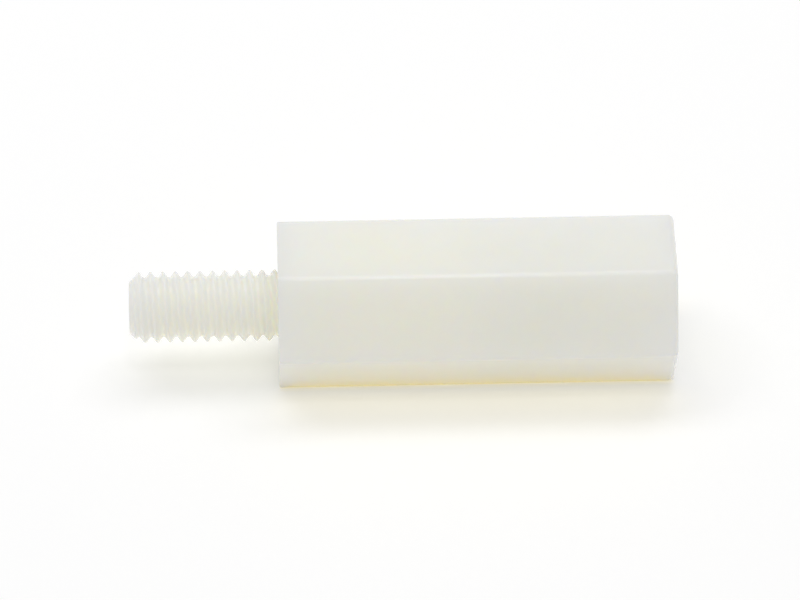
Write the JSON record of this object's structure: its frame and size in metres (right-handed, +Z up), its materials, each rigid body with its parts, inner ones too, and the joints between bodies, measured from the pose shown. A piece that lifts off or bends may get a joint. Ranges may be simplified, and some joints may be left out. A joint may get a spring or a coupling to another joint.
{
  "type": "hex standoff",
  "caption": "Hexagonal nylon standoff with a threaded stud at its shoulder end and a blind threaded hole in its open end, for spacing a board off a panel.",
  "frame": {"origin": "centre of the shoulder, on the axis, where the stud leaves the body", "axes": "+X along the axis from the shoulder to the mouth of the threaded hole, +Z up from the flat that the part lies on"},
  "size_m": [0.022, 0.0068, 0.006],
  "materials": {
    "nylon": "natural moulded nylon, milky and translucent, satin"
  },
  "bodies": {
    "root": {"hex_standoff": "nylon"}
  },
  "joints": []
}
